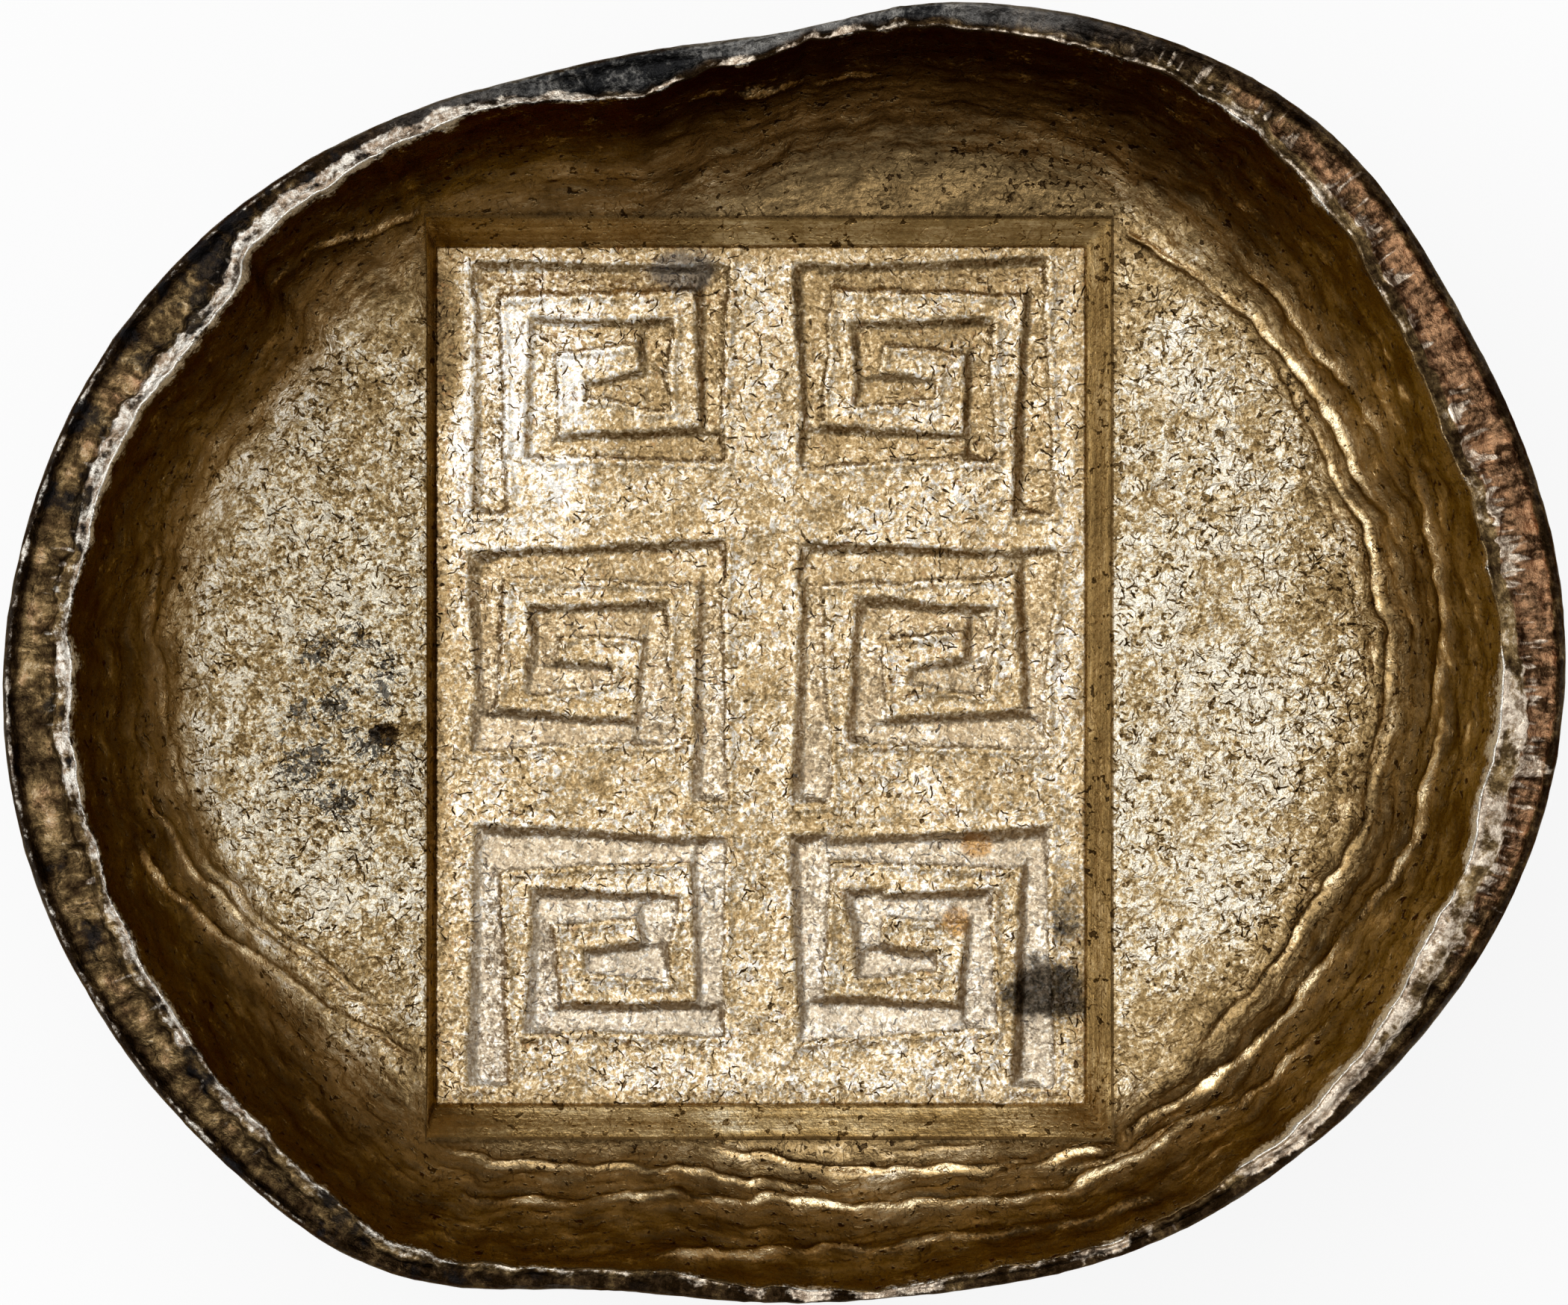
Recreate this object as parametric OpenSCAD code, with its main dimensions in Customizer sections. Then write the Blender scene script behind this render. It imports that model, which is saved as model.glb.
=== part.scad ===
// Oval silver ingot: one casting with a bowl-shaped face, a raised rim and a struck panel.
// X runs along the ingot, Y across it, Z up. The origin is under the middle of its box, on the base.

/* [Ingot] */
// Overall length, end to end
ingot_len = 66; // [60:1:80]
// Overall width, side to side
ingot_wid = 55; // [50:1:66]
// Height of the crest at the two raised ends
end_h = 26; // [24:0.5:30]
// Height of the crest along the two sides
side_h = 24; // [20:0.5:26]

/* [Outline] */
// Fullness of the oval, where 2 is an ellipse and more is squarer
oval_power = 2.25; // [2:0.05:2.8]
// Angle by which the oval leans from the panel's axes
oval_lean = 11; // [0:1:16]
// Depth of the deepest dent in the rim's outline
dent_depth = 1; // [0:0.1:1.6]

/* [Rim] */
// Mean width of the land on top of the rim
land_w = 1.7; // [1.5:0.05:2.4]
// How much wider the land is at the ends than the mean
land_swing = 1.2; // [0:0.05:1.3]
// Fall of the land from its crest to its outer edge, at the ends
land_fall = 0.9; // [0.3:0.1:1.6]

/* [Bowl] */
// Height of the floor beside the panel
floor_h = 13.5; // [12:0.5:16]
// Rise of the floor from the panel to the foot of the wall
floor_dish = 1; // [0:0.1:2]
// Run of the wall from its foot to the crest, seen from above
wall_run = 6.5; // [5:0.1:8]
// Steepening of the wall, where 1 is a straight slope
wall_power = 2.3; // [1.6:0.1:2.8]
// Height of the ripples that froze on the wall
ripple_h = 0.3; // [0:0.05:0.5]
// Distance from one ripple to the next, down the wall
ripple_pitch = 1.7; // [1.4:0.1:2.4]

/* [Flank] */
// Length of the flat foot
foot_len = 40; // [34:1:48]
// Width of the flat foot
foot_wid = 31; // [27:1:40]
// Fullness of the flank, where 2 is an elliptical curve
flank_power = 2.2; // [2:0.1:3]

/* [Skin] */
// Thickness of the skin that froze on the mould, level with the bowl's floor
skin_t = 2; // [1.2:0.1:2.4]
// Thickness of that skin under the middle
skin_floor_t = 5; // [3:0.5:7]

/* [Panel] */
// Width of the struck panel
panel_wid = 28; // [24:0.5:29]
// Length of the struck panel
panel_len = 37; // [34.5:0.5:38]
// Depth of the panel below the floor beside it
panel_sink = 0.8; // [0.4:0.1:1.6]
// Thickness of the struck metal
struck_t = 1.5; // [1:0.1:3]
// Slope of the panel's left edge, seen from above
draft_left = 0.4; // [0.2:0.1:1.2]
// Slope of its right edge
draft_right = 1.2; // [0.2:0.1:1.6]
// Slope of its upper edge
draft_top = 1.3; // [0.2:0.1:1.6]
// Slope of its lower edge
draft_bottom = 1.5; // [0.2:0.1:1.6]

/* [Fret] */
// Width of a struck stroke
stroke_w = 1.2; // [0.8:0.1:1.4]
// Depth of a struck stroke
stroke_sink = 0.5; // [0.2:0.1:0.8]
// Distance between neighbouring strokes of a square spiral
fret_pitch = 2.4; // [2:0.1:2.5]
// Columns of spirals
fret_cols = 2; // [1:1:2]
// Rows of spirals
fret_rows = 3; // [1:1:3]

/* [Hidden] */

silver = [0.72, 0.62, 0.47];
tarnish = [0.20, 0.17, 0.14];
worn = [0.80, 0.71, 0.56];

// Where the panel's middle lies from the ingot's middle
panel_at = [-1, -1];
panel_z = floor_h - panel_sink;

// Dents and swells that the smith left in the rim: where, how broad, and how far as a share of dent_depth
rim_dents = [
    [90, 10, -0.8],
    [108, 22, -0.9],
    [302, 20, 1],
    [27, 14, -1],
    [238, 12, 1],
    [252, 16, -1],
    [190, 16, 0.8],
];

// Where the crest stands back from the rim's outer edge: where, how broad, and how far
land_shoulders = [
    [106, 10, 1.2],
    [152, 10, 0.6],
];

// Spokes run from the panel's edge to the rim, with one through each corner of the panel
corner = atan2(panel_len, panel_wid);
end_steps = 34;
side_steps = 24;
spokes = concat(
    [for (k = [0 : end_steps - 1]) -corner + 2 * corner * k / end_steps],
    [for (k = [0 : side_steps - 1]) corner + (180 - 2 * corner) * k / side_steps],
    [for (k = [0 : end_steps - 1]) 180 - corner + 2 * corner * k / end_steps],
    [for (k = [0 : side_steps - 1]) 180 + corner + (180 - 2 * corner) * k / side_steps]
);
ring = [0 : len(spokes) - 1];

function total(values, i = 0) = i < len(values) ? values[i] + total(values, i + 1) : 0;
function turn_between(a, b) = ((a - b + 540) % 360) - 180;
function at_height(points, z) = [for (p = points) [p[0], p[1], z]];
function towards_middle(p, distance) = p * (1 - distance / norm(p));
function mix(p, q, share) = p + (q - p) * share;

// The oval seen from above, dented, then brought to the exact length and width
function bumps(list, a) = total([for (b = list) b[2] * exp(-pow(turn_between(a, b[0]) / b[1], 2))]);
function oval_r(a) = pow(
    pow(abs(cos(a - oval_lean)) * 2 / ingot_len, oval_power)
    + pow(abs(sin(a - oval_lean)) * 2 / ingot_wid, oval_power), -1 / oval_power);
dented_oval = [for (a = spokes) (oval_r(a) + dent_depth * bumps(rim_dents, a)) * [cos(a), sin(a)]];
low = [min([for (p = dented_oval) p[0]]), min([for (p = dented_oval) p[1]])];
high = [max([for (p = dented_oval) p[0]]), max([for (p = dented_oval) p[1]])];
function fitted(size) = [for (p = dented_oval) [for (k = [0, 1])
    (p[k] - (low[k] + high[k]) / 2) * size[k] / (high[k] - low[k])]];

rim = fitted([ingot_len, ingot_wid]);
foot = fitted([foot_len, foot_wid]);

// The land is widest and the crest is highest at the ends
function endness(a) = cos(2 * (a - oval_lean));
function land(a) = land_w + land_swing * endness(a) + bumps(land_shoulders, a);
function crest_h(a) = side_h + (end_h - side_h) * (1 + endness(a)) / 2;
function edge_h(a) = crest_h(a) - land_fall * land(a) / (land_w + land_swing);
crest = [for (i = ring) towards_middle(rim[i], land(spokes[i]))];
crest_ring = [for (i = ring) [crest[i][0], crest[i][1], crest_h(spokes[i])]];

// The flank swells from the foot to the rim along a quarter of a full oval
function flank_ring(angle) = [for (i = ring) let (
    p = mix(foot[i], rim[i], pow(sin(angle), 2 / flank_power)),
    z = edge_h(spokes[i]) * (1 - pow(cos(angle), 2 / flank_power)))
    [p[0], p[1], z]];
flank_angles = [0, 8, 16, 25, 34, 44, 55, 66, 78, 90];

// Where the skin that froze on the mould meets the core that froze after it
function flank_angle_at(share) = acos(pow(1 - share, flank_power / 2));
function core_side(i) = let (
    angle = flank_angle_at(floor_h / edge_h(spokes[i])),
    p = mix(foot[i], rim[i], pow(sin(angle), 2 / flank_power)))
    towards_middle(p, skin_t);
core_side_ring = at_height([for (i = ring) core_side(i)], floor_h);
core_foot_ring = at_height(foot, skin_floor_t);

// The panel's edge, flat at its foot and sloping outwards to its mouth
function on_panel(a) = min(
    panel_wid / 2 / max(abs(cos(a)), 0.001),
    panel_len / 2 / max(abs(sin(a)), 0.001)) * [cos(a), sin(a)];
panel_foot = [for (a = spokes) on_panel(a) + panel_at];
panel_mouth = [for (a = spokes) let (p = on_panel(a)) panel_at + [
    p[0] + mix(-draft_left, draft_right, p[0] / panel_wid + 0.5),
    p[1] + mix(-draft_bottom, draft_top, p[1] / panel_len + 0.5)]];

// The bowl's face: how far each spoke runs, and the height at a distance in from the crest
spoke_len = [for (i = ring) norm(crest[i] - panel_mouth[i])];
function ripple_strength(a) = 0.6 + 0.4 * cos(a + 60);
function ripple(i, distance, climb) = ripple_h * ripple_strength(spokes[i]) * sin(180 * climb)
    * sin(360 * distance / ripple_pitch + 40 * sin(3 * spokes[i]))
    * min(1, (spoke_len[i] - distance) / ripple_pitch);
function bowl_point(i, distance) = let (
    p = mix(crest[i], panel_mouth[i], distance / spoke_len[i]),
    climb = max(0, 1 - distance / wall_run),
    floor_z = floor_h + floor_dish * (1 - distance / spoke_len[i]),
    z = mix(floor_z, crest_h(spokes[i]), pow(climb, wall_power)))
    [p[0], p[1], z + ripple(i, distance, climb)];
function wall_foot(i) = min(wall_run, 0.9 * spoke_len[i]);
wall_steps = 16;
floor_steps = 6;
bowl_rings = concat(
    [for (k = [1 : wall_steps]) [for (i = ring) bowl_point(i, wall_foot(i) * k / wall_steps)]],
    [for (k = [1 : floor_steps]) [for (i = ring)
        bowl_point(i, mix(wall_foot(i), spoke_len[i], k / floor_steps))]]
);

// One closed solid through a list of rings, closed at both ends by a fan to the middle of the ring
function middle_of(points) = [for (k = [0 : 2]) total([for (p = points) p[k]]) / len(points)];
module lofted(rings) {
    n = len(rings[0]);
    last = len(rings) - 1;
    sides = [for (j = [0 : last - 1], i = [0 : n - 1]) let (
        a = j * n + i,
        b = j * n + (i + 1) % n)
        each [[a, a + n, b], [b, a + n, b + n]]];
    first_middle = (last + 1) * n;
    fans = [for (i = [0 : n - 1]) let (
        next = (i + 1) % n)
        each [[i, next, first_middle], [last * n + next, last * n + i, first_middle + 1]]];
    points = concat(
        [for (r = rings) each r],
        [middle_of(rings[0]), middle_of(rings[last])]);
    polyhedron(points, concat(sides, fans));
}

// The skin that froze first, against the mould: foot, flank and the land of the rim
module mould_skin() {
    color(tarnish)
        lofted(concat(
            [for (angle = flank_angles) flank_ring(angle)],
            [crest_ring, core_side_ring, core_foot_ring]));
}

// The silver that froze last: it fills the skin, and its free face is the rippled bowl
module poured_core() {
    color(silver)
        lofted(concat(
            [core_foot_ring, core_side_ring, crest_ring],
            bowl_rings,
            [at_height(panel_foot, panel_z), at_height(panel_foot, panel_z - struck_t)]));
}

// Corners of a square spiral that grows by one step every second stroke
fret_moves = [[1, 0], [0, 1], [-1, 0], [0, -1]];
fret_strokes = 8;
function fret_corner(k) = k == 0 ? [0, 0]
    : fret_corner(k - 1) + fret_moves[(k - 1) % len(fret_moves)] * ceil(k / 2) * fret_pitch;

// One straight stroke of the punch, square at both ends
module stroke(from, to) {
    step = [abs(to[0] - from[0]), abs(to[1] - from[1])];
    translate([min(from[0], to[0]) - stroke_w / 2, min(from[1], to[1]) - stroke_w / 2])
        square(step + [stroke_w, stroke_w]);
}

module fret() {
    for (k = [0 : fret_strokes - 1])
        stroke(fret_corner(k), fret_corner(k + 1));
}

// The face that the punch struck: a flat panel with sunk square spirals, mirrored from one to the next
module stamped_face() {
    cell = [panel_wid / fret_cols, panel_len / fret_rows];
    color(worn)
        translate([panel_at[0], panel_at[1], panel_z])
            difference() {
                translate([-panel_wid / 2, -panel_len / 2, -struck_t])
                    cube([panel_wid, panel_len, struck_t]);
                for (col = [0 : fret_cols - 1], row = [0 : fret_rows - 1])
                    translate([
                        (col + 0.5) * cell[0] - panel_wid / 2,
                        (row + 0.5) * cell[1] - panel_len / 2,
                        -stroke_sink])
                        linear_extrude(2 * stroke_sink)
                            mirror([(col + row) % 2, 0])
                                fret();
            }
}

mould_skin();
poured_core();
stamped_face();
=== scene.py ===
import math
import random

import bmesh
import bpy
import numpy as np
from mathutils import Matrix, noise


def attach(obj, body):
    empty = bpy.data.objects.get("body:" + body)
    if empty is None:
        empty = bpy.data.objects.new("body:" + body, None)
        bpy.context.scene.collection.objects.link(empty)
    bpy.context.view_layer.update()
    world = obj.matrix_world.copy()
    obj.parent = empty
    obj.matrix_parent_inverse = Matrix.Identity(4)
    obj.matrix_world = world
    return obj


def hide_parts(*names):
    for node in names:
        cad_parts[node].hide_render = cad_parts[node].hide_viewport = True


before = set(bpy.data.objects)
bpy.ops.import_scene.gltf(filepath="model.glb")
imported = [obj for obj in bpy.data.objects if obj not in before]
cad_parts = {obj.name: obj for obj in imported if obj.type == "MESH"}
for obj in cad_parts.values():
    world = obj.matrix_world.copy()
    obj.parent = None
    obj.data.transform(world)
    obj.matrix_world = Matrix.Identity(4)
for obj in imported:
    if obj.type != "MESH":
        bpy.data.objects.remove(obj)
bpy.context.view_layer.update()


# Mould skin: the silver that froze first, against an oval mould. It is the flat foot, the flank and the
# land on top of the rim. The mould left it rough and full of gas pits, and it has tarnished nearly
# black; the crest at its inner edge is rubbed bright. The land's outer lip carries painted glints, and
# the shoulder at the upper left a painted grey sheen.
MM = 0.001
ingot_length, ingot_width = 66, 55
end_height, side_height = 26, 24
foot_length, foot_width = 40, 31
flank_fullness, flank_top = 2.2, 76
oval_fullness, oval_lean = 2.25, 11
rim_dents = (
    # angle round the ingot, spread in degrees, how far out
    (90, 10, -0.8), (108, 22, -0.9), (302, 20, 1), (27, 14, -1),
    (238, 12, 1), (252, 16, -1), (190, 16, 0.8))
land_width, land_swing, land_fall = 1.7, 1.2, 0.9
land_shoulders = ((106, 10, 1.2), (152, 10, 0.6))
panel_width, panel_length = 28, 37
panel_middle = np.array((-1.0, -1.0))
floor_height, skin_side, skin_under = 13.5, 2, 5


def spokes(along_end, along_side):
    """Angles round the ingot, with one through each corner of the panel."""
    corner = math.degrees(math.atan2(panel_length, panel_width))
    end = -corner + 2 * corner * np.arange(along_end) / along_end
    side = corner + (180 - 2 * corner) * np.arange(along_side) / along_side
    return np.concatenate((end, side, end + 180, side + 180))


def cosd(turn):
    return np.cos(np.radians(turn))


def sind(turn):
    return np.sin(np.radians(turn))


def bell(away, width):
    """1 in the middle, falling softly to 0 on both sides."""
    return np.exp(-((away / width) ** 2))


def bumps(rows, turn):
    """Soft bumps round the ingot, each given by its angle, its spread in degrees and its height."""
    return sum(high * bell((turn - at + 180) % 360 - 180, spread) for at, spread, high in rows)


def mixed(a, b, share):
    return a + (b - a) * share


def eased(low, high, value):
    """0 below low and 1 above high, easing between."""
    share = np.clip((value - low) / (high - low), 0, 1)
    return share * share * (3 - 2 * share)


def grain(points, size, seed, octaves=3):
    """Cloudy unevenness from about -1 to 1, with lumps of the given size in mm, anywhere on the ingot."""
    spots = points.reshape(-1, 3) / size + np.array((seed * 7.3, seed * 3.1, seed * 5.7))
    flat = [noise.fractal(spot, 0.8, 2.1, octaves) for spot in spots.tolist()]
    return np.array(flat).reshape(points.shape[:-1])


def by_side(right, left, top, bottom):
    """A value at each turn that eases from one side of the ingot to the next."""
    pull = np.clip((cosd(turns), -cosd(turns), sind(turns), -sind(turns)), 0, 1) ** 3
    return np.array((right, left, top, bottom)) @ pull / pull.sum(0)


def dented_oval(turn):
    reach = (np.abs(cosd(turn - oval_lean)) * 2 / ingot_length) ** oval_fullness
    reach = reach + (np.abs(sind(turn - oval_lean)) * 2 / ingot_width) ** oval_fullness
    reach = reach ** (-1 / oval_fullness) + bumps(rim_dents, turn)
    return np.stack((reach * cosd(turn), reach * sind(turn)), -1)


def fitted_oval(turn, length, width):
    """The dented oval, stretched to a length and a width and centred."""
    whole = dented_oval(np.arange(0, 360, 0.5))
    low, high = whole.min(0), whole.max(0)
    return (dented_oval(turn) - (low + high) / 2) * np.array((length, width)) / (high - low)


def endness(turn):
    """1 at the ends of the oval and -1 at its sides."""
    return cosd(2 * (turn - oval_lean))


def land(turn):
    """Width of the land, with a step at the upper left where the rim broke."""
    broken_step = 0.5 * eased(143, 147, turn % 360) * (1 - eased(150, 166, turn % 360))
    return land_width + land_swing * endness(turn) + bumps(land_shoulders, turn) + broken_step


def crest_height(turn):
    return side_height + (end_height - side_height) * (1 + endness(turn)) / 2


def edge_height(turn):
    return crest_height(turn) - land_fall * land(turn) / (land_width + land_swing)


def worn_crest(turn):
    """The crest of the rim as it is now, chipped and rubbed: both the skin and the core end on this line."""
    clean_rim = fitted_oval(turn, ingot_length, ingot_width)
    outward = clean_rim / np.linalg.norm(clean_rim, axis=-1, keepdims=True)
    clean = np.concatenate((clean_rim - outward * land(turn)[:, None], crest_height(turn)[:, None]), -1)
    wander = 0.36 * grain(clean, 3.6, 1, 2) + 0.09 * grain(clean, 0.8, 2, 2)
    wander = np.clip(wander, -0.5, 0.6 * land(turn) - 0.12)
    chips = 0.9 * np.clip(grain(clean, 1.5, 3, 2) - 0.35, 0, 1) + 0.18 * (1 + grain(clean, 1.1, 4, 2))
    clean[:, :2] += outward * wander[:, None]
    clean[:, 2] -= np.clip(chips, 0.02, 1.1)
    return clean


def at_height(plan, height):
    return np.concatenate((plan, np.broadcast_to(height, plan.shape[:1])[:, None]), -1)


def flank(angle):
    """A row of the flank, from the foot at angle 0 up to the rim at 90."""
    plan = mixed(foot, rim, math.sin(math.radians(angle)) ** (2 / flank_fullness))
    return at_height(plan, edge_height(turns) * (1 - math.cos(math.radians(angle)) ** (2 / flank_fullness)))


def facing(rows):
    """Direction straight out of each point of a sheet of rows that run round the ingot."""
    round_it = np.roll(rows, -1, 1) - np.roll(rows, 1, 1)
    along_it = np.gradient(rows, axis=0)
    straight = np.cross(round_it, along_it)
    return straight / np.maximum(np.linalg.norm(straight, axis=-1, keepdims=True), 1e-9)


def drawn_together(row):
    return row.mean(1, keepdims=True).repeat(row.shape[1], 1)


def closed_piece(name, rows, marks):
    """One closed mesh: a grid wrapped round the ingot, its first and last rows drawn together to a point."""
    rows = np.concatenate((drawn_together(rows[:1]), rows, drawn_together(rows[-1:])))
    marks = {mark: np.concatenate((value[:1], value, value[-1:])) for mark, value in marks.items()}
    tall, around = rows.shape[:2]
    shape = bmesh.new()
    bmesh.ops.create_grid(shape, x_segments=around, y_segments=tall - 1, size=1)
    layers = {}
    for mark, value in marks.items():
        kind = "float" if value.ndim == 2 else "float_vector"
        layers[mark] = getattr(shape.verts.layers, kind).new(mark)
    for vert in shape.verts:
        column = round((vert.co.x + 1) / 2 * around) % around
        row = round((vert.co.y + 1) / 2 * (tall - 1))
        vert.co = rows[row, column] * MM
        for mark, layer in layers.items():
            vert[layer] = marks[mark][row, column]
    bmesh.ops.remove_doubles(shape, verts=shape.verts, dist=1e-7)
    bmesh.ops.recalc_face_normals(shape, faces=shape.faces)
    return finished(name, shape)


def finished(name, shape):
    """A smooth object in the scene, made from a bmesh."""
    for face in shape.faces:
        face.smooth = True
    mesh = bpy.data.meshes.new(name)
    shape.to_mesh(mesh)
    shape.free()
    piece = bpy.data.objects.new(name, mesh)
    bpy.context.scene.collection.objects.link(piece)
    return piece


turns = spokes(196, 124)
rim = fitted_oval(turns, ingot_length, ingot_width)
foot = fitted_oval(turns, foot_length, foot_width)
crest = worn_crest(turns)
rim_out = rim / np.linalg.norm(rim, axis=-1, keepdims=True)
corner_edge = at_height(rim, edge_height(turns))
rounding = np.minimum(0.45, 0.4 * land(turns))[:, None]
land_end = corner_edge - at_height(rim_out, 0.0) * rounding
flank_start = flank(flank_top)

# The skin's rows run from the crest over the land, round its outer edge, down the flank and under the foot.
land_steps, bend_steps, flank_steps, foot_steps = 26, 5, 80, 26
land_run = np.linalg.norm(land_end - crest, axis=-1)
rubbed_spots = (
    # angle round the rim, spread in degrees, how bare
    (135, 17, 1.0), (162, 12, 0.9), (318, 9, 0.9), (334, 13, 1.1), (355, 10, 0.75), (186, 12, 0.65),
    (214, 16, 0.5), (276, 16, 0.35), (110, 8, 0.3), (88, 7, 0.2), (50, 18, 0.35))
rubbing = np.clip(bumps(rubbed_spots, turns) + 0.3 * grain(crest, 4, 5, 2), 0.12, 1.2)
band = np.minimum(0.5 * land_run, by_side(0.85, 0.5, 0.3, 0.55) * mixed(0.5, 1.2, rubbing))
crest_drop, ledge_drop = 0.12, 0.42 * np.minimum(1, land_run / 2)
ridge_height = 0.25 * bumps(((322, 36, 1),), turns)
sheet, past_crest = [], []
for step in range(land_steps + 1):
    past = land_run * (step / land_steps) ** 1.2
    row = mixed(crest, land_end, (past / land_run)[:, None])
    sunk_ledge = ledge_drop * eased(band - 0.05, band + 0.4, past)
    inside_edge = 1 - eased(land_run - 0.5, land_run, past)
    row[:, 2] -= (crest_drop * eased(0.05, 0.3, past) + sunk_ledge) * inside_edge
    row[:, 2] += ridge_height * np.sin(np.pi * np.clip(past / band, 0, 1))
    sheet.append(row)
    past_crest.append(past)
for step in range(1, bend_steps + 1):
    share = step / bend_steps
    sheet.append(mixed(mixed(land_end, corner_edge, share), mixed(corner_edge, flank_start, share), share))
    past_crest.append(land_run + share)
for step in range(1, flank_steps + 1):
    sheet.append(flank(flank_top * (1 - step / flank_steps)))
    past_crest.append(land_run + 1 + step)
for step in range(1, foot_steps + 1):
    sheet.append(at_height(foot * (1 - step / (foot_steps + 0.5)), 0.0))
    past_crest.append(land_run + 99)
sheet, past_crest = np.array(sheet), np.array(past_crest)

row_number = np.arange(len(sheet))[:, None]
foot_row = land_steps + bend_steps + flank_steps
on_land = 1 - eased(land_steps - 1, land_steps + bend_steps, row_number)
on_foot = eased(foot_row - 6, foot_row, row_number)
on_flank = (1 - on_land) * (1 - on_foot)
on_ledge = on_land * eased(0.8 * band, 1.3 * band, past_crest)

# Relief of the skin: ribs across the land, lumps and flow lines on the flank, and gas pits below the rim.
skin_out = facing(sheet)
if skin_out[-3, :, 2].mean() > 0:
    skin_out = -skin_out
round_rim = np.broadcast_to(rim, (len(sheet), *rim.shape))
across_land = np.concatenate((round_rim, 0.3 * past_crest[..., None]), -1)
ribs = grain(across_land, 0.8, 11, 2)
lumps = grain(sheet, 2.4, 12)
pebbles = grain(sheet, 0.7, 15, 2)
swells = grain(sheet, 9, 13, 2)
flow_lines = grain(sheet * np.array((0.25, 0.25, 1.6)), 2.2, 14)
land_relief = on_ledge * (0.2 * ribs + 0.1 * pebbles)
land_relief = land_relief + on_land * eased(0, 3, row_number) * (0.08 * lumps + 0.09 * pebbles)
flank_relief = 0.25 * swells + 0.14 * lumps + 0.12 * flow_lines + 0.05 * pebbles
at_edge = bell(row_number - land_steps - 3, 7)
proud = land_relief * (1 - 0.85 * at_edge) + on_flank * (1 - 0.8 * at_edge) * flank_relief
pit_count, pit_depth, first_pit_row = 420, 0.55, land_steps + bend_steps + 8
dice = random.Random(31)
pits = np.zeros(sheet.shape[:2])
for pit in range(pit_count):
    spot = sheet[dice.randrange(first_pit_row, len(sheet) - 1), dice.randrange(len(turns))]
    size = 0.4 + 1.4 * dice.random() ** 3
    near = np.linalg.norm(sheet - spot, axis=-1) / size
    pits = np.maximum(pits, size * pit_depth * (1 - eased(0.55, 1.05, near)))
foot_pits = np.maximum(pits, 0.25 * np.clip(lumps - 0.1, 0, 1))
proud = (proud - pits) * (1 - on_foot) - on_foot * foot_pits
sheet = sheet + skin_out * proud[..., None]

# The relief changes the outline a little, so the sheet is stretched back to just inside the ingot's box.
box_margin = 0.01
inside = np.array((ingot_length / 2, ingot_width / 2, end_height)) - box_margin
low, high = sheet[..., :2].min((0, 1)), sheet[..., :2].max((0, 1))
spread_out = (sheet[..., :2] - (low + high) / 2) * 2 * inside[:2] / (high - low)
sheet[..., :2] = mixed(sheet[..., :2], spread_out, eased(0, 1, past_crest / land_run)[..., None])
sheet = np.clip(sheet, inside * np.array((-1, -1, 0)), inside)

# Marks that the finish reads: where the skin is rubbed, dirty, rusty, pitted or worn, with painted glints
# along the land's outer lip and a painted sheen on the shoulder.
on_band = on_land * (1 - eased(0.85 * band, 1.1 * band, past_crest))
patchy = np.clip(rubbing + 0.5 * grain(crest, 1.6, 6, 2), 0, 1)
thin_line, wide_line = by_side(0.11, 0.2, 0.13, 0.15), by_side(0.5, 0.48, 0.42, 0.5)
worn_lines = bell(past_crest, mixed(thin_line, wide_line, patchy))
worn_lines = worn_lines * mixed(by_side(0.3, 0.8, 0.68, 0.5), 1, patchy)
worn_lines = worn_lines + 0.8 * patchy * bell(past_crest - band, 0.15)
worn_band = np.maximum(patchy, by_side(0.6, 0, 0, 0)) * on_band * by_side(0.72, 0.7, 0.5, 0.5)
# Painted glints: a dotted bright line along the land's outer lip. It joins the rubbed crest marks.
outer_lip_glints = 0.75 * bell(past_crest - land_run + 0.05, 0.11) * by_side(0.25, 1, 0.2, 0.2)
shoulder = np.clip(bumps(((109, 12, 1.2), (84, 16, 1.2)), turns), 0, 1) * eased(0.12, 0.4, past_crest)
dark_stretch = np.clip(bumps(((320, 16, 1.1), (265, 40, 0.6)), turns), 0, 1)
edge_start, edge_end = by_side(0.4, 0.75, 0.75, 0.75), by_side(0.1, 0.25, 0.25, 0.25)
outer_edge = eased(land_run - edge_start, land_run - edge_end, past_crest)
band_tone, ledge_tone = by_side(0.70, 0.56, 0.3, 0.55), by_side(0.80, 0.52, 0.3, 0.36)
dirt = mixed(band_tone, ledge_tone, eased(band, band + 0.3, past_crest))
dirt = dirt - 0.3 * dark_stretch * on_ledge - 0.25 * bumps(((22, 14, 1),), turns)
gathered = np.clip(0.8 + 0.9 * grain(crest, 3, 7, 2), 0, 1)
ticked = on_ledge * np.exp(-np.maximum(past_crest - band - 0.2, 0) / 0.75) * gathered
skin_marks = {
    "rubbed": np.clip(np.maximum(worn_lines, worn_band) + outer_lip_glints, 0, 1),
    "ticked": ticked * by_side(1.4, 0.45, 0.1, 0.2) * (1 - dark_stretch),
    "tone": mixed(dirt, 0.12, outer_edge),
    "rust": on_ledge * by_side(1, 0.3, 0.2, 0.15) * (1 - dark_stretch) * (1 - outer_edge),
    "pitted": np.clip(pits / 0.35, 0, 1),
    # Grey wear on the flank's high spots and flow lines, and a painted grey sheen on the shoulder at the
    # upper left.
    "worn": np.maximum(on_flank * np.clip(0.3 + 1.3 * proud + 0.45 * flow_lines, 0, 1), 0.5 * shoulder),
    "outside": np.maximum(1 - on_land, shoulder),
    "across": across_land * MM,
}

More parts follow.
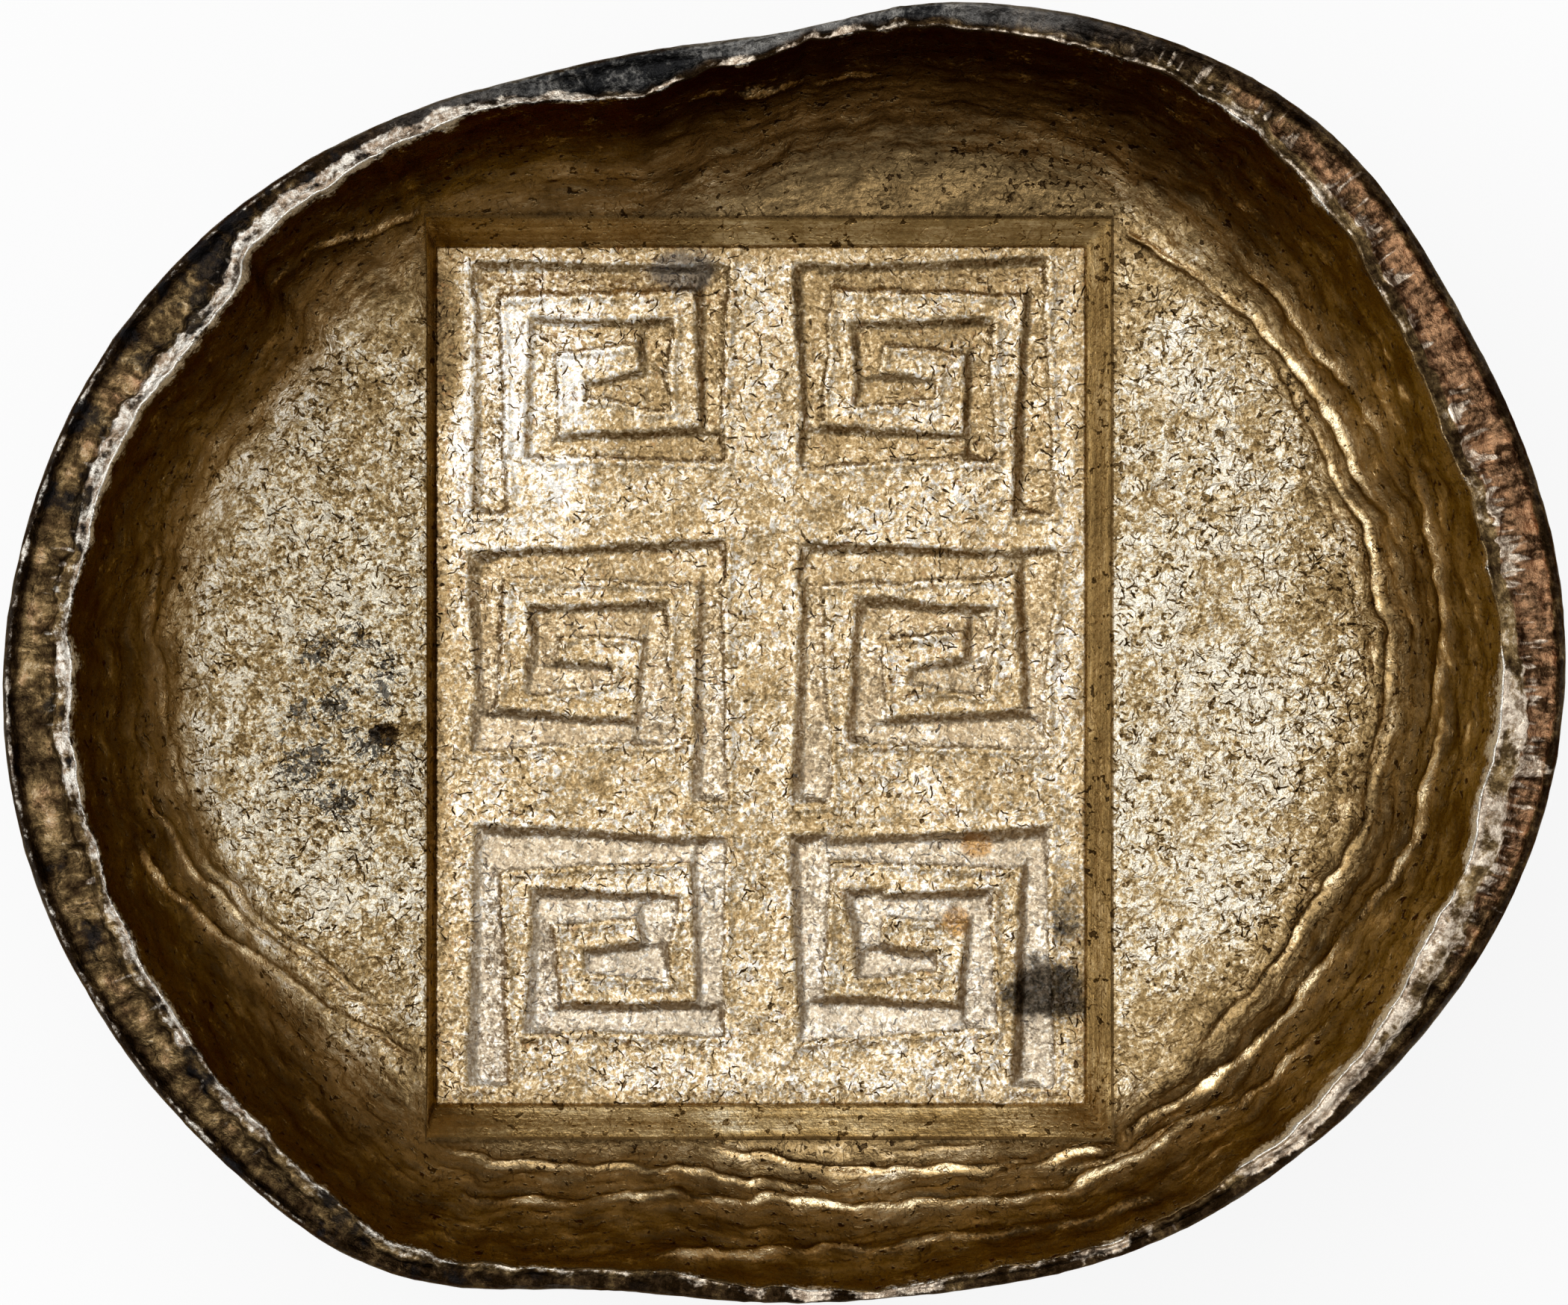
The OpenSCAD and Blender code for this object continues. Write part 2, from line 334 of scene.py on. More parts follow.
# Two hidden rows close the skin where it meets the core.
level = np.degrees(np.arccos((1 - floor_height / edge_height(turns)) ** (flank_fullness / 2)))
core_side = mixed(foot, rim, (sind(level) ** (2 / flank_fullness))[:, None])
core_side = core_side * (1 - skin_side / np.linalg.norm(core_side, axis=-1, keepdims=True))
seat = np.array((at_height(foot, float(skin_under)), at_height(core_side, float(floor_height))))
for name, value in skin_marks.items():
    skin_marks[name] = np.concatenate((np.zeros((2, *value.shape[1:])), value))
mould_skin = closed_piece("mould_skin_cast", np.concatenate((seat, sheet)), skin_marks)


class Value:
    """A value in a material. Operators on it add Math nodes, and node() adds any other kind of node."""

    def __init__(self, tree, socket=None):
        self.tree, self.socket = tree, socket

    def node(self, kind, settings=(), sockets=(), output=0):
        made = self.tree.nodes.new(kind)
        for name, setting in dict(settings).items():
            if name == "stops":
                while len(made.color_ramp.elements) < len(setting):
                    made.color_ramp.elements.new(1)
                for stop, (position, shade) in zip(made.color_ramp.elements, setting):
                    stop.position, stop.color = position, (*shade, 1)
            else:
                setattr(made, name, setting)
        for name, given in dict(sockets).items():
            if isinstance(given, Value):
                self.tree.links.new(given.socket, made.inputs[name])
            else:
                made.inputs[name].default_value = given
        return Value(self.tree, made.outputs[output])

    def maths(self, operation, *others):
        return self.node("ShaderNodeMath", {"operation": operation}, dict(enumerate((self, *others))))

    def __add__(self, other):
        return self.maths("ADD", other)

    def __sub__(self, other):
        return self.maths("SUBTRACT", other)

    def __mul__(self, other):
        return self.maths("MULTIPLY", other)

    def __rsub__(self, other):
        return self.node("ShaderNodeMath", {"operation": "SUBTRACT"}, {0: other, 1: self})

    __radd__ = __add__
    __rmul__ = __mul__

    def swing(self, amount):
        """A noise from 0 to 1, moved to go as far below zero as above it."""
        return (self - 0.5) * amount

    def most(self, *others):
        """The largest of several values."""
        largest = self
        for other in others:
            largest = largest.maths("MAXIMUM", other)
        return largest

    def step(self, low, high):
        """0 below low and 1 above high, easing between."""
        sockets = {"Value": self, "From Min": low, "From Max": high}
        return self.node("ShaderNodeMapRange", {"interpolation_type": "SMOOTHSTEP"}, sockets)

    def tint(self, dark, light):
        """The first colour where this value is 0 and the second where it is 1."""
        return self.node("ShaderNodeMix", {"data_type": "RGBA"}, {0: self, 6: dark, 7: light}, 2)

    def dyed(self, share, dye):
        """This colour multiplied by a dye, as far as the share says."""
        settings = {"data_type": "RGBA", "blend_type": "MULTIPLY"}
        return self.node("ShaderNodeMix", settings, {0: share, 6: self, 7: dye}, 2)

    def vector(self, operation, other=(0, 0, 0), output=0):
        return self.node("ShaderNodeVectorMath", {"operation": operation}, {0: self, 1: other}, output)

    def scaled(self, factor):
        return self.node("ShaderNodeVectorMath", {"operation": "SCALE"}, {0: self, "Scale": factor})

    def along(self, axis):
        """This vector's length along x, y or z, which are axes 0, 1 and 2."""
        return self.node("ShaderNodeSeparateXYZ", (), {0: self}, axis)


def colour(red, green, blue):
    return (red, green, blue, 1)


def new_finish(name):
    """An empty material, its place on the ingot in metres, and its shader."""
    material = bpy.data.materials.new(name)
    material.use_nodes = True
    nodes = material.node_tree
    nodes.nodes.clear()
    shader = nodes.nodes.new("ShaderNodeBsdfPrincipled")
    surface = nodes.nodes.new("ShaderNodeOutputMaterial")
    nodes.links.new(shader.outputs[0], surface.inputs[0])
    place = Value(nodes).node("ShaderNodeTexCoord", output="Object")
    return material, place, shader


def cloud(place, size, detail=4, rough=0.6, at=(0, 0, 0), swirl=0.0):
    """Noise from 0 to 1 with lumps of the given size in mm, drawn out into threads where it swirls."""
    moved = place.node("ShaderNodeMapping", (), {"Vector": place, "Location": at})
    sockets = {"Vector": moved, "Scale": 1000 / size, "Detail": detail}
    sockets.update({"Roughness": rough, "Distortion": swirl})
    return moved.node("ShaderNodeTexNoise", (), sockets)


def mark(place, name, output="Fac"):
    return place.node("ShaderNodeAttribute", {"attribute_name": name}, output=output)


def patina(tone):
    """Silver's colour by how clean it is: 0 is black-brown tarnish, a half is brown and 1 is bare metal."""
    stops = (
        (0, (0.012, 0.0062, 0.0022)), (0.25, (0.036, 0.0205, 0.0092)), (0.5, (0.105, 0.066, 0.027)),
        (0.75, (0.316, 0.212, 0.094)), (0.87, (0.56, 0.43, 0.255)), (0.94, (0.74, 0.635, 0.475)),
        (1, (0.97, 0.92, 0.83)))
    return tone.node("ShaderNodeValToRGB", {"stops": stops}, {0: tone})


def bump(relief, strength, height, **sockets):
    """The surface's direction over a relief whose step from 0 to 1 is the given height in mm."""
    sockets.update({"Strength": strength, "Distance": height * MM, "Height": relief})
    return relief.node("ShaderNodeBump", (), sockets)


def metal(shader, glancing, base, roughness, normal):
    """Sets a tarnished metal, with the tint that it mirrors at a glancing angle."""
    shader.inputs["Metallic"].default_value = 1.0
    shader.inputs["Specular Tint"].default_value = glancing
    for name, given in (("Base Color", base), ("Roughness", roughness), ("Normal", normal)):
        given.tree.links.new(given.socket, shader.inputs[name])


soot_dark, soot_pale = colour(0.016, 0.016, 0.0165), colour(0.24, 0.233, 0.22)
wear_and_sheen_grey = colour(0.34, 0.325, 0.295)
rust_dark, rust_pale = colour(0.045, 0.020, 0.009), colour(0.52, 0.28, 0.145)
silver_dull = colour(0.38, 0.28, 0.195)
silver_warm, silver_cool = colour(0.99, 0.85, 0.68), colour(0.85, 0.80, 0.71)
ink, pit_black = colour(0.011, 0.012, 0.014), colour(0.012, 0.009, 0.006)

skin_finish, place, shader = new_finish("tarnished_mould_skin")
rubbed, ticked, rust, outside = (mark(place, name) for name in ("rubbed", "ticked", "rust", "outside"))
pitted, worn = mark(place, "pitted"), mark(place, "worn")
across = mark(place, "across", "Vector")
coarse = cloud(place, 1.7, 5, 0.65)
fine = cloud(place, 0.32, 4, 0.7, (0.01, 0, 0))
broad = cloud(place, 7, 3, 0.5, (0, 0.02, 0))
ticks = cloud(across, 0.42, 2, 0.6)
comb = cloud(across, 0.33, 1, 0.5, (0.03, 0.01, 0))
mossy = cloud(place, 1.1, 5, 0.7, (0.02, 0.05, 0))
tone = mark(place, "tone") + coarse.swing(1.2) + mossy.step(0.36, 0.64).swing(0.35)
tone = tone + fine.swing(1.0) + ticks.swing(0.7)
tone = tone.maths("MINIMUM", 0.80 + fine.swing(0.6))
rusty = (mossy + fine.swing(0.7) + ticks.swing(0.7)).step(0.36, 0.70).tint(rust_dark, rust_pale)
dirty = ((rust * 1.3 + coarse.swing(2.4) - 0.2).step(0.2, 0.8) * 0.9).tint(patina(tone), rusty)
left_end = 1 - place.along(0).step(-0.02, 0.0)
inky = (left_end * 0.7 * (1 - (coarse + broad - 0.5).step(0.34, 0.46))).tint(dirty, ink)
soot = (broad + fine.swing(0.6) + coarse.swing(0.5)).step(0.35, 0.75).tint(soot_dark, soot_pale)
# Grey wear on the flank, and a painted grey sheen on the shoulder at the upper left.
wear_and_sheen = (worn + broad.swing(0.7) + mossy.swing(1.1) + coarse.swing(0.7) + fine.swing(1.4)).step(0.35, 1.0)
base = outside.tint(inky, (wear_and_sheen * 0.8).tint(soot, wear_and_sheen_grey))
bare = (rubbed + fine.swing(1.0) + coarse.swing(1.8) + mossy.swing(0.8) - 0.12).step(0.35, 0.8)
combed = (ticked + comb.swing(3.4) + fine.swing(0.6) - 0.55).step(0.2, 0.6) * ticked.step(0.1, 0.4)
bare = bare.most(combed)
silver_bright = left_end.tint(silver_warm, silver_cool)
silvery = (fine + (mossy - 0.5)).step(0.36, 0.68).tint(silver_dull, silver_bright)
base = bare.tint(base, silvery)
base = (pitted * 0.7).tint(base, pit_black)
relief = bump(fine * 0.6 + coarse + comb * ticked * 1.5, 0.8, 0.3)
metal(shader, colour(0.5, 0.42, 0.32), base, 0.42 - bare * 0.1 + fine.swing(0.2), relief)
mould_skin.data.materials.append(skin_finish)
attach(mould_skin, "root")
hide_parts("mould_skin")


# Poured core: the silver that froze last, inside the skin. Its free face is the bowl. The smith rocked
# the mould while it set, so ripples like small shelves froze on the wall, and their edges carry painted
# highlights; the floor is a frost of fine crystals, pale where it is open and brown with tarnish up the
# wall, with painted shade darkening the top and left walls further.
wall_run, wall_steepness, wall_lip, floor_dish = 6.5, 2.3, 0.15, 1
panel_sink, struck_depth = 0.8, 1.5
drafts = {"left": 0.4, "right": 1.2, "top": 1.3, "bottom": 1.5}
panel_floor = floor_height - panel_sink

to_side = panel_width / 2 / np.maximum(np.abs(cosd(turns)), 0.001)
to_end = panel_length / 2 / np.maximum(np.abs(sind(turns)), 0.001)
reach = np.minimum(to_side, to_end)
on_panel = np.stack((reach * cosd(turns), reach * sind(turns)), -1)
panel_foot = on_panel + panel_middle
panel_mouth = panel_foot + np.stack((
    mixed(-drafts["left"], drafts["right"], on_panel[:, 0] / panel_width + 0.5),
    mixed(-drafts["bottom"], drafts["top"], on_panel[:, 1] / panel_length + 0.5)), -1)
spoke_run = np.linalg.norm(crest[:, :2] - panel_mouth, axis=-1)
wall_end = np.minimum(wall_run, 0.9 * spoke_run)

# The wall's rows keep even runs in from the crest, so ripples stay smooth where the spokes get shorter.
wall_rows, floor_rows, draft_rows = 100, 24, 9
steady = wall_run * np.linspace(0, 1, wall_rows + 1)[:, None]
knee = 0.85 * wall_end
runs = np.concatenate((
    np.minimum(steady, mixed(knee, wall_end, (steady - knee) / (wall_run - knee))),
    mixed(wall_end, spoke_run, np.linspace(0, 1, floor_rows + 1)[1:, None])))


def bowl(run):
    """Points of the bowl's face at a run in from the crest, seen from above."""
    plan = mixed(crest[:, :2], panel_mouth, (run / spoke_run)[..., None])
    rounded = np.sqrt(run**2 + wall_lip**2) - wall_lip
    climb = np.clip(1 - rounded / wall_run, 0, 1)
    floor = floor_height + floor_dish * (1 - run / spoke_run)
    return np.concatenate((plan, mixed(floor, crest[:, 2], climb**wall_steepness)[..., None]), -1)


bowl_face = bowl(runs)
ripple_lines = (
    # how high, then points along the ripple: the angle round the bowl and the run in from the crest
    (0.34, (236, 4.2), (252, 4.0), (258, 3.7), (270, 4.1)),
    (0.36, (261, 5.3), (268, 4.9), (274, 5.2), (284, 4.4), (297, 4.3)),
    (0.40, (241, 2.3), (252, 2.6), (262, 3.0), (274, 3.5), (284, 2.6), (298, 2.7), (312, 2.5)),
    (0.28, (257, 0.5), (266, 0.8), (271, 1.6), (275, 1.9), (282, 1.5), (302, 1.2)),
    (0.30, (288, 5.4), (302, 5.6)),
    (0.42, (300, 3.9), (310, 3.9), (317, 3.3), (328, 2.8)),
    (0.42, (304, 3.4), (310, 2.7), (318, 1.9), (326, 1.5)),
    (0.42, (326, 3.3), (332, 2.8), (338, 2.3), (350, 1.9)),
    (0.32, (322, 4.9), (336, 4.4), (352, 4.0)),
    (0.36, (352, 4.3), (368, 4.1), (380, 4.2), (388, 4.8)),
    (0.34, (355, 2.6), (362, 1.9), (369, 1.4), (376, 1.8)),
    (0.42, (376, 3.2), (384, 3.5), (394, 4.4), (402, 5.4), (412, 6.4)),
    (0.38, (382, 2.0), (390, 2.9), (398, 3.8)),
    (0.34, (195, 0.9), (204, 2.7), (210, 3.8), (218, 5.2), (227, 6.4)),
    (0.34, (194, 2.3), (205, 3.9), (211, 5.2), (220, 6.8)),
    (0.28, (200, 3.6), (210, 5.5), (217, 6.9)),
    (0.14, (166, 2.3), (184, 3.6), (196, 3.6)),
    (0.30, (127, 2.9), (135, 2.0), (142, 1.3)),
    (0.24, (84, 1.8), (96, 0.9)))
usual_ripple = 0.4
ripples, glint_lines, ripple_light_and_shade = np.zeros(runs.shape), np.zeros(runs.shape), np.zeros(runs.shape)
for number, (high, *points) in enumerate(ripple_lines):
    angles, inward = np.array(points).T
    turn = angles[0] - 20 + (turns - angles[0] + 20) % 360
    ring = at_height(crest[:, :2], number * 9.0)
    line = sum(np.interp(turn + shift, angles, inward) for shift in (-6, -3, 0, 3, 6)) / 5
    line = line + 0.16 * grain(ring, 3.5, 21 + number, 2) + 0.09 * np.abs(grain(ring, 1.6, 41 + number, 2))
    strength = eased(angles[0] - 7, angles[0] + 5, turn) * (1 - eased(angles[-1] - 5, angles[-1] + 7, turn))
    strength = high * strength * np.clip(0.85 + 0.7 * grain(ring, 3, 61 + number, 2), 0.15, 1.3)
    # A ripple rises slowly to a shelf with a steep front, and drops quickly behind it.
    past = runs - line
    shelf = 0.45 * np.exp(np.minimum(past, 0) / 0.7) + 0.55 * np.clip(1 + past / 0.18, 0, 1)
    ripples += strength * np.where(past < 0, shelf, bell(past, 0.2))
    # Its edge carries a thin painted highlight, with painted light on the wall above it and painted shade
    # below it.
    uneven_line = 0.09 + 0.06 * np.clip(grain(ring, 1.8, 141 + number, 2), -0.8, 1)
    thick = np.hypot(uneven_line, 0.7 * np.gradient(line))
    glint_lines = np.maximum(glint_lines, strength / usual_ripple * bell(past + 0.08, thick))
    paler, darker = 0.12 * np.exp(np.minimum(past, 0) / 0.5), -0.14 * np.exp(-np.maximum(past, 0) / 0.4)
    ripple_light_and_shade += strength / usual_ripple * np.where(past < 0, paler, darker)

# Relief of the bowl: streaks and lumps on the wall, dimples and unevenness on the floor.
on_wall = eased(0.2, 0.9, runs) * (1 - eased(0.75, 1.1, runs / wall_end))
flow = np.concatenate((np.broadcast_to(0.16 * crest[:, :2], (*runs.shape, 2)), runs[..., None]), -1)
streaks = grain(flow, 0.6, 83) * on_wall * by_side(1, 0.5, 0.5, 0.8)
wall_lumps = grain(bowl_face, 0.9, 85, 2) * on_wall * by_side(1, 0.9, 0.5, 0.7)
settle = eased(0, 0.5, runs) * eased(0, 0.9, spoke_run - runs)
uneven = 0.12 * grain(bowl_face, 5, 81) + 0.08 * grain(bowl_face, 1.3, 82)
uneven = uneven + 0.035 * grain(bowl_face, 0.7, 86, 2)
dimple_count = 26
dice = random.Random(12)
dimples = [(16.3, 6.8, 0.6, 0.25), (-16.8, 3.0, 0.6, 0.25)]
for dimple in range(dimple_count):
    east, north = dice.choice((-1, 1)) * dice.uniform(15, 26), dice.uniform(-13, 13)
    dimples.append((east, north, dice.uniform(0.25, 0.6), dice.uniform(0.05, 0.16)))
for east, north, size, deep in dimples:
    near = np.linalg.norm(bowl_face[..., :2] - np.array((east, north)), axis=-1) / size
    uneven = uneven - deep * (1 - eased(0.5, 1.1, near)) + 0.3 * deep * bell(near - 1.2, 0.25)
bowl_out = facing(bowl_face)
if bowl_out[-1, :, 2].mean() < 0:
    bowl_out = -bowl_out
# Painted glints on the wall's streaks and lumps, strongest on the right.
crinkle_glints = eased(0.36, 0.85, streaks + 0.7 * wall_lumps) * by_side(1, 0.3, 0.15, 0.5)
glint_lines = np.maximum(glint_lines, 0.8 * crinkle_glints)
bowl_relief = (ripples + uneven + 0.12 * streaks + 0.06 * wall_lumps) * settle
bowl_face = bowl_face + bowl_out * bowl_relief[..., None]

# The punch pushed four sloping sides down from the floor to the panel, rounded at top and bottom.
drafted = []
for step in range(1, draft_rows + 1):
    share = step / draft_rows
    slope = mixed(bowl_face[-1], at_height(panel_foot, float(panel_floor)), share)
    rounded = mixed(bowl_face[-1, :, 2], panel_floor, eased(-0.12, 1.12, share))
    slope[:, 2] += (rounded - slope[:, 2]) * 0.8
    drafted.append(slope)
shown = np.concatenate((bowl_face, np.array(drafted)))
pocket = at_height(panel_foot, float(panel_floor - struck_depth))[None]

# Marks that the finish reads: how clean the silver is, with painted shade on the top and left walls and at
# the drafts' foot, where the ripples and wall carry painted glints, and where it is frosted or rubbed
# bright.
# Painted shade is mixed into how clean the silver is: the top walls and floor and the left wall stay darker,
# as if lit from the upper left.
at_crest, at_floor = by_side(0.60, 0.40, 0.15, 0.48), by_side(0.95, 0.93, 0.67, 0.73)
clean = mixed(at_crest, at_floor, eased(by_side(2.5, 0.6, 0.7, 0), by_side(9, 5.4, 2.8, 5.5), runs))
clean = clean + 0.1 * bumps(((28, 16, 1),), turns) * eased(1, 2, runs) * (1 - eased(5, 7, runs))
clean = clean + 0.05 * bumps(((332, 16, 1),), turns) * (eased(5, 8, runs) + 1 - eased(1, 2.5, runs))
# A thin darker line where the floor turns down into the draft.
clean = clean - 0.25 * by_side(0.2, 0.1, 0.6, 0.7) * bell(spoke_run - runs, 0.16)
# Painted shade: a darker band on the left wall just under the crest.
clean = clean - 0.12 * by_side(0, 1, 0.5, 0) * bell(runs, 0.9)
clean = clean + bumps(((64, 15, -0.07), (106, 14, 0.04)), turns) * eased(1.5, 3, runs)
clean = clean + (ripple_light_and_shade + 0.14 * streaks + 0.08 * wall_lumps + 0.06 * grain(bowl_face, 3, 84)) * settle
frosted = eased(2.5, 6.5, runs) * by_side(1, 1.25, 0.2, 0.3)
crest_line = bell(runs, mixed(0.12, 0.4, patchy)) * mixed(by_side(0.15, 0.45, 0.3, 0.3), 1, patchy)
down = np.linspace(0, 1, draft_rows + 1)[1:, None]
# The drafts' tone: a darker line along their top edge, and painted shade along their foot, strongest on the
# left.
draft_tone = by_side(0.70, 0.68, 0.78, 0.82) - 0.18 * bell(down, 0.13)
draft_tone = draft_tone - by_side(0.05, 0.35, 0, 0) * bell(1 - down, 0.35)
draft_depth = np.broadcast_to(90 + 1.6 * down, (draft_rows, len(turns)))[..., None]
draft_flow = np.concatenate((0.05 * shown[-draft_rows:, :, :2], draft_depth), -1)
bowl_none, draft_none = np.zeros_like(clean), np.zeros_like(draft_tone)
core_marks = {
    "tone": np.concatenate((clean, draft_tone)),
    "gilt": np.concatenate((glint_lines * settle, draft_none)),
    "frost": np.concatenate((frosted, draft_none)),
    "crest": np.concatenate((crest_line, draft_none)),
    "draft": np.concatenate((bowl_none, 1 + draft_none)),
    "flow": np.concatenate((flow, draft_flow)) * MM,
}
for name, value in core_marks.items():
    core_marks[name] = np.concatenate((np.zeros((2, *value.shape[1:])), value, value[-1:]))
poured_core = closed_piece("poured_core_bowl", np.concatenate((seat, shown, pocket)), core_marks)


def needles(place, spacing, length, width, at):
    """Short bent scratches, one in each patch of the given spacing in mm, each turned its own way."""
    sockets = {"Vector": place, "Scale": 1000 / 0.35, "Detail": 1.0}
    bend = place.node("ShaderNodeTexNoise", (), sockets, "Color")
    bent = place.vector("ADD", bend.vector("SUBTRACT", (0.5, 0.5, 0.5)).scaled(0.32 * MM))
    flat = place.node("ShaderNodeMapping", (), {"Vector": bent, "Location": at, "Scale": (1, 1, 0.2)})
    sockets = {"Vector": flat, "Scale": 1000 / spacing, "Randomness": 1.0}
    cell = flat.node("ShaderNodeTexVoronoi", {"voronoi_dimensions": "2D"}, sockets, "Color")
    middle = flat.node("ShaderNodeTexVoronoi", {"voronoi_dimensions": "2D"}, sockets, "Position")
    turn = cell.node("ShaderNodeSeparateColor", (), {0: cell}, 0) * (2 * math.pi)
    keep = cell.node("ShaderNodeSeparateColor", (), {0: cell}, 1)
    away = flat.vector("SUBTRACT", middle)
    east, north = away.along(0), away.along(1)
    lengthways = (east * turn.maths("COSINE") + north * turn.maths("SINE")).maths("ABSOLUTE")
    sideways = (north * turn.maths("COSINE") - east * turn.maths("SINE")).maths("ABSOLUTE")
    long = 1 - lengthways.step(length * 0.35 * MM, length * 0.5 * MM)
    thin = 1 - sideways.step(width * 0.3 * MM, width * 0.6 * MM)
    return long * thin * keep.step(0.25, 0.9)


def crystals(place, size, at):
    """A random lean for each crystal of the given size in mm, as a vector around zero."""
    moved = place.node("ShaderNodeMapping", (), {"Vector": place, "Location": at})
    lean = moved.node("ShaderNodeTexVoronoi", (), {"Vector": moved, "Scale": 1000 / size}, "Color")
    return lean.vector("SUBTRACT", (0.5, 0.5, 0.5))


def brightness(lean):
    return lean.along(0) + 0.5


def leaning(place, *leans):
    """The surface's direction, tipped by each crystal's lean."""
    way = place.node("ShaderNodeNewGeometry", output="Normal")
    for lean in leans:
        way = way.vector("ADD", lean)
    return way.vector("NORMALIZE")


def patch(place, east, north, wide, tall):
    """A soft round patch at a place on the ingot in mm: 1 in its middle, 0 outside."""
    location, scale = (-east / wide, -north / tall, 0), (1 / (wide * MM), 1 / (tall * MM), 0)
    moved = place.node("ShaderNodeMapping", (), {"Vector": place, "Location": location, "Scale": scale})
    return 1 - moved.vector("LENGTH", output="Value").step(0.2, 1)


draft_dye, frost_dye = colour(1, 0.93, 0.74), colour(1, 0.97, 0.86)
stain_dark, stain_pale = colour(0.010, 0.009, 0.008), colour(0.075, 0.066, 0.056)
glint_gold, glint_pale_gold = colour(0.47, 0.31, 0.135), colour(0.93, 0.74, 0.45)
crest_silver = colour(0.78, 0.74, 0.66)

core_finish, place, shader = new_finish("frosted_silver_bowl")
gilt, frost, crest_rub = (mark(place, name) for name in ("gilt", "frost", "crest"))
small, large = crystals(place, 0.11, (0, 0, 0)), crystals(place, 0.24, (0.02, 0, 0))
scratches = needles(place, 0.42, 0.4, 0.06, (0, 0, 0))
scratches = scratches.most(needles(place, 0.62, 0.55, 0.07, (0.013, 0.02, 0)))
mottle = cloud(place, 1.5, 6, 0.65)
threads = cloud(place, 0.5, 4, 0.65, (0.04, 0.02, 0), 2.5)
blotch = cloud(place, 4.5, 4, 0.6, (0.03, 0, 0))
fine = cloud(place, 0.2, 3, 0.7, (0, 0.01, 0))
drawn = cloud(mark(place, "flow", "Vector"), 0.3, 5, 0.7)
lumpy = cloud(place, 0.8, 3, 0.55, (0.07, 0, 0.02), 1.0)
scratches = scratches * (mottle + blotch.swing(0.8)).step(0.36, 0.62)
specks = cloud(place, 0.45, 2, 0.6, (0.05, 0.03, 0)).step(0.62, 0.68) * blotch.step(0.36, 0.55)
creases = 1 - (cloud(place, 1.1, 2, 0.5, (0.06, 0.01, 0), 0.8) - 0.5).maths("ABSOLUTE").step(0.0, 0.03)
creases = creases * frost * (blotch + mottle - 0.5).step(0.42, 0.6)
tone = mark(place, "tone") + mottle.swing(0.4 + frost * 0.3) + blotch.swing(0.32 + frost * 0.3)
tone = tone + threads.swing(0.12 + frost * 0.6) + fine.swing(0.25 + frost * 0.55)
tone = tone + (brightness(small) + brightness(large) - 1) * frost * 0.16 + drawn.swing(0.5 - frost * 0.4)
tone = tone + frost * 0.015 - scratches * (frost * 0.68 + 0.06) - specks * 0.4
# The creases are darkened a little as painted shade, beside their bump.
tone = tone - creases * 0.08 + (lumpy - 0.5) * frost * 0.45
pit = (patch(place, -17.2, -3.5, 1.1, 0.9) + threads.swing(1.5) + (fine - 0.5)).step(0.4, 0.7)
base = patina(tone - pit * 0.7)
base = base.dyed(mark(place, "draft"), draft_dye).dyed(frost * 0.8, frost_dye)
stained = patch(place, -19.5, -3.0, 7, 9) * 0.75 + mottle.swing(2.6) + threads.swing(2.4) + (blotch - 0.5)
base = (stained.step(0.8, 1.0) * 0.9).tint(base, fine.step(0.35, 0.7).tint(stain_dark, stain_pale))
# Painted highlights on the ripple edges and wall crinkles: a golden halo round a pale gleam.
ragged = gilt * 1.2 + fine.swing(0.8) + mottle.swing(2.2) + drawn.swing(0.8) + threads.swing(1.2)
glint_halo, gleam = ragged.step(0.25, 0.75), ragged.step(0.68, 1.1)
base = gleam.tint((glint_halo * 0.8).tint(base, glint_gold), glint_pale_gold)
bare = (crest_rub + fine.swing(1.2) + mottle.swing(1.6)).step(0.45, 0.85)
base = bare.tint(base, crest_silver)
relief = fine * 0.4 - scratches * 0.8 - specks + mottle * 1.2 + threads * frost * 0.8
relief = relief + lumpy * frost * 2.6 + drawn * 0.4 - creases * 0.5
tipped = leaning(place, small.scaled(frost * 0.26 + 0.06), large.scaled(frost * 0.2 + 0.04))
roughness = 0.28 + frost * 0.1 - gleam * 0.06 + fine.swing(0.15)
metal(shader, colour(0.55, 0.44, 0.28), base, roughness, bump(relief, 0.6, 0.16, Normal=tipped))
poured_core.data.materials.append(core_finish)
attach(poured_core, "root")
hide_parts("poured_core")


# Stamped face: the flat panel that one blow of the punch left in the soft silver. Sunken square spirals
# stand on it in rows, cut in the punch by hand, so no two strokes are quite alike. Dirt has settled
# along the strokes. The ground between them is pale, with a painted glare at its upper left and painted
# highlights along its lower and right edges.
stroke_width, stroke_sink, fret_pitch = 1.2, 0.5, 2.4
fret_columns, fret_rows, fret_strokes = 2, 3, 8
cell_width, cell_length = panel_width / fret_columns, panel_length / fret_rows
ways_round = ((1, 0), (0, 1), (-1, 0), (0, -1))
chisel = random.Random(5)
strokes = []
for column in range(fret_columns):
    for row in range(fret_rows):
        middle_east = (column + 0.5) * cell_width - panel_width / 2
        middle_north = (row + 0.5) * cell_length - panel_length / 2
        middle = np.array((middle_east, middle_north))
        mirror = np.array((-1 if (column + row) % 2 else 1, 1))
        here = np.zeros(2)
        for number in range(fret_strokes):
            move = np.array(ways_round[number % 4]) * math.ceil((number + 1) / 2) * fret_pitch
            wobble = np.array((chisel.uniform(-0.12, 0.12), chisel.uniform(-0.12, 0.12)))
            start, end = middle + here * mirror, middle + (here + move + wobble) * mirror
            widths = chisel.uniform(0.6, 0.9), chisel.uniform(1.2, 1.7)
            strokes.append((start, end, widths, chisel.uniform(0.6, 1.0)))
            here = here + move

